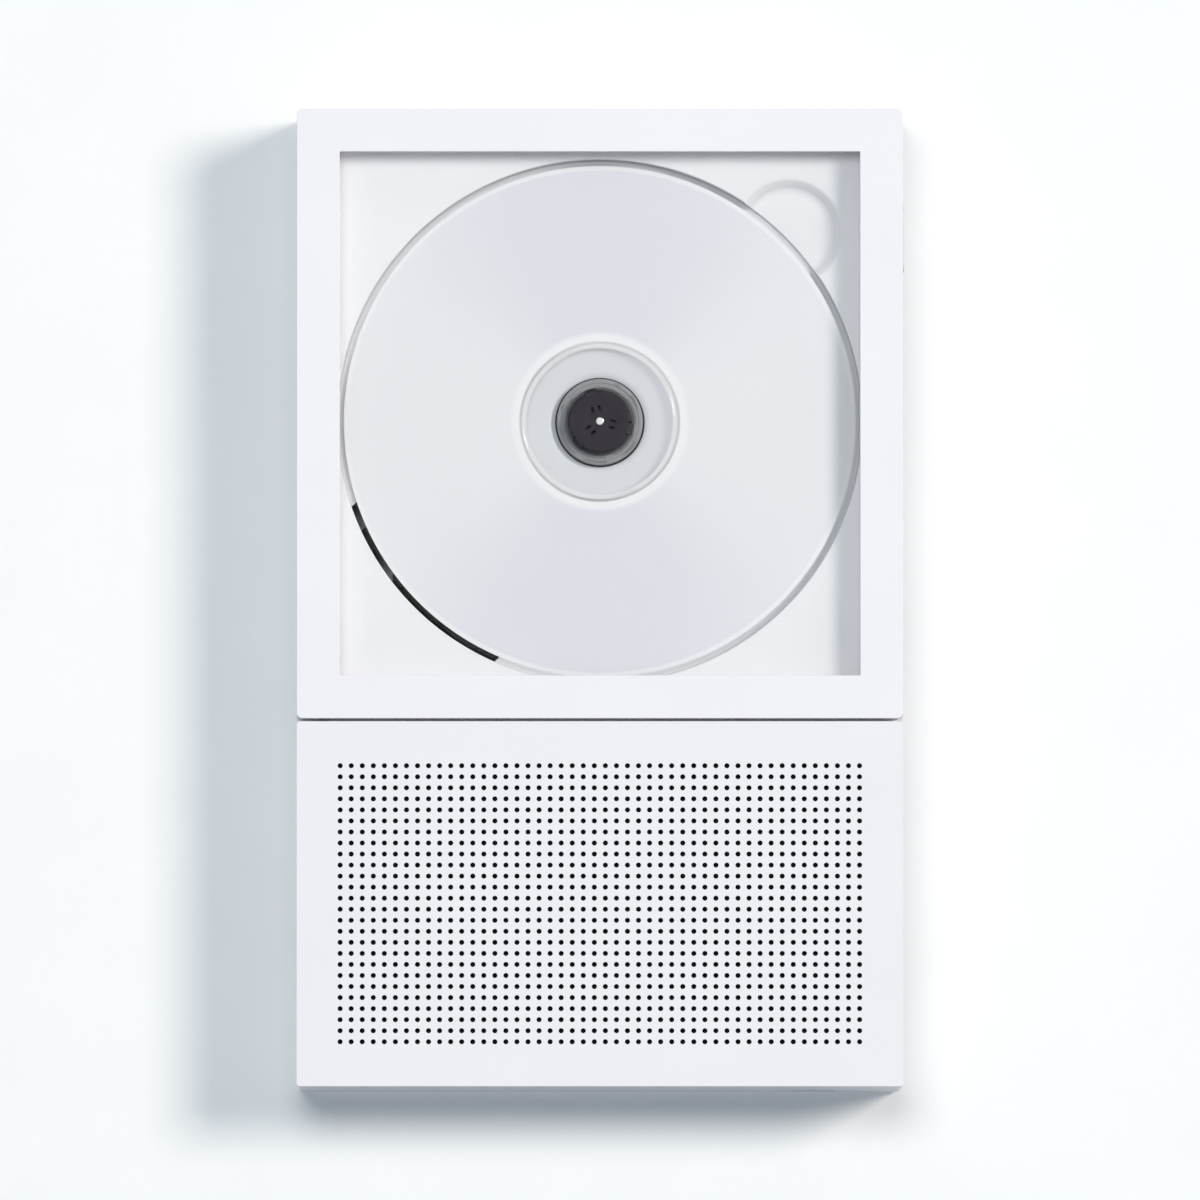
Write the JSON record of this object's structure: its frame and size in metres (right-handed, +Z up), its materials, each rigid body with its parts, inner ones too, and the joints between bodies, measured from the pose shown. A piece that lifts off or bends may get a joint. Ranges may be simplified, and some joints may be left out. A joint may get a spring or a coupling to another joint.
{
  "type": "wall mounted disc player",
  "caption": "Upright disc player that hangs on a wall bracket: a square lid with a clear window over a silver disc, and a perforated speaker panel below.",
  "frame": {"origin": "middle of the rear cover's back face, in the plane of the wall", "axes": "+X to the viewer's right, +Y into the wall, +Z up"},
  "size_m": [0.1404, 0.037, 0.2268],
  "materials": {
    "body_white": "fine matt moulding",
    "lid_white": "satin white moulding",
    "panel_white": "satin white moulding",
    "deck_white": "fine matt moulding",
    "window_clear": "clear, polished",
    "pin_steel": "ground",
    "magnet_nickel": "nickel plated",
    "cloth_black": "woven",
    "baffle_black": "matt",
    "basket_black": "black pressed steel",
    "ferrite_grey": "ground ferrite and steel",
    "cone_black": "pressed paper",
    "suspension_black": "soft rubber",
    "disc_silver": "silvered, with a clear rim and a clear middle",
    "table_grey": "satin",
    "pad_black": "soft rubber",
    "hub_charcoal": "fine grain",
    "claw_charcoal": "satin",
    "motor_steel": "zinc plated",
    "chassis_black": "matt",
    "damper_grey": "soft rubber",
    "screw_steel": "zinc plated",
    "carriage_black": "satin",
    "lens_blue": "coated",
    "board_green": "solder mask",
    "part_black": "moulded",
    "socket_steel": "plated",
    "battery_foil": "foil",
    "key_white": "fine matt moulding",
    "bracket_steel": "grey powder coat"
  },
  "bodies": {
    "housing": {"rear_cover": "body_white", "mid_frame": "body_white", "disc_deck": "deck_white", "hinge_pins": "pin_steel", "catch_magnet": "magnet_nickel", "speaker_grille": "panel_white", "grille_cloth": "cloth_black", "speaker_baffle": "baffle_black", "driver_left_frame": "basket_black", "driver_right_frame": "basket_black", "driver_left_magnet": "ferrite_grey", "driver_right_magnet": "ferrite_grey", "driver_left_suspension": "suspension_black", "driver_right_suspension": "suspension_black", "spindle_motor": "motor_steel", "traverse_chassis": "chassis_black", "chassis_dampers": "damper_grey", "chassis_screws": "screw_steel", "guide_rods": "pin_steel", "feed_motor": "motor_steel", "main_board": "board_green", "main_board_parts": "part_black", "charge_board": "board_green", "usb_socket": "socket_steel", "headphone_jack": "part_black", "battery": "battery_foil", "key_board": "board_green", "key_switches": "part_black", "power_board": "board_green", "wall_bracket": "bracket_steel", "case_screws": "screw_steel", "deck_screws": "screw_steel", "baffle_screws": "screw_steel", "driver_screws": "screw_steel", "board_screws": "screw_steel"},
    "lid": {"lid_frame": "lid_white", "lid_window": "window_clear", "catch_plate": "magnet_nickel"},
    "spindle": {"disc": "disc_silver", "turntable": "table_grey", "turntable_pad": "pad_black", "clamp_hub": "hub_charcoal", "clamp_claws": "claw_charcoal", "spindle_shaft": "pin_steel"},
    "pickup": {"pickup_carriage": "carriage_black", "pickup_lens": "lens_blue"},
    "feed": {"feed_screw": "pin_steel"},
    "left_cone": {"driver_left_cone": "cone_black"},
    "right_cone": {"driver_right_cone": "cone_black"},
    "previous_key": {"key_previous": "key_white"},
    "play_key": {"key_play": "key_white"},
    "next_key": {"key_next": "key_white"},
    "volume_down_key": {"key_volume_down": "key_white"},
    "volume_up_key": {"key_volume_up": "key_white"},
    "power": {"power_key": "key_white"}
  },
  "joints": [
    {"name": "lid_hinge", "type": "hinge", "parent": "housing", "child": "lid", "pos_m": [-0.0678, -0.0339, 0.0425], "axis": [0, 0, -1], "range_deg": [0, 105]},
    {"name": "disc_spin", "type": "hinge", "parent": "housing", "child": "spindle", "pos_m": [0, -0.0272, 0.0411], "axis": [0, -1, 0], "continuous": true},
    {"name": "pickup_slide", "type": "slide", "parent": "housing", "child": "pickup", "axis": [-0.7373, 0, -0.6756], "range_m": [0, 0.034]},
    {"name": "feed_screw_turn", "type": "hinge", "parent": "housing", "child": "feed", "pos_m": [0.01513, -0.0136, 0.02458], "axis": [-0.7373, 0, -0.6756], "range_deg": [0, 4090]},
    {"name": "left_cone_stroke", "type": "slide", "parent": "housing", "child": "left_cone", "axis": [0, -1, 0], "range_m": [-0.0006, 0.0006], "stiffness_N_per_m": 1200, "deforming": ["driver_left_suspension"]},
    {"name": "right_cone_stroke", "type": "slide", "parent": "housing", "child": "right_cone", "axis": [0, -1, 0], "range_m": [-0.0006, 0.0006], "stiffness_N_per_m": 1200, "deforming": ["driver_right_suspension"]},
    {"name": "previous_key_press", "type": "slide", "parent": "housing", "child": "previous_key", "axis": [0, 0, -1], "range_m": [0, 0.0005], "stiffness_N_per_m": 600},
    {"name": "play_key_press", "type": "slide", "parent": "housing", "child": "play_key", "axis": [0, 0, -1], "range_m": [0, 0.0005], "stiffness_N_per_m": 600},
    {"name": "next_key_press", "type": "slide", "parent": "housing", "child": "next_key", "axis": [0, 0, -1], "range_m": [0, 0.0005], "stiffness_N_per_m": 600},
    {"name": "volume_down_key_press", "type": "slide", "parent": "housing", "child": "volume_down_key", "axis": [0, 0, -1], "range_m": [0, 0.0005], "stiffness_N_per_m": 600},
    {"name": "volume_up_key_press", "type": "slide", "parent": "housing", "child": "volume_up_key", "axis": [0, 0, -1], "range_m": [0, 0.0005], "stiffness_N_per_m": 600},
    {"name": "power_key_press", "type": "slide", "parent": "housing", "child": "power", "axis": [-1, 0, 0], "range_m": [0, 0.0005], "stiffness_N_per_m": 600}
  ],
  "couplings": [
    {"joint": "feed_screw_turn", "follows": "pickup_slide", "rad_per_m": 2094.4}
  ]
}
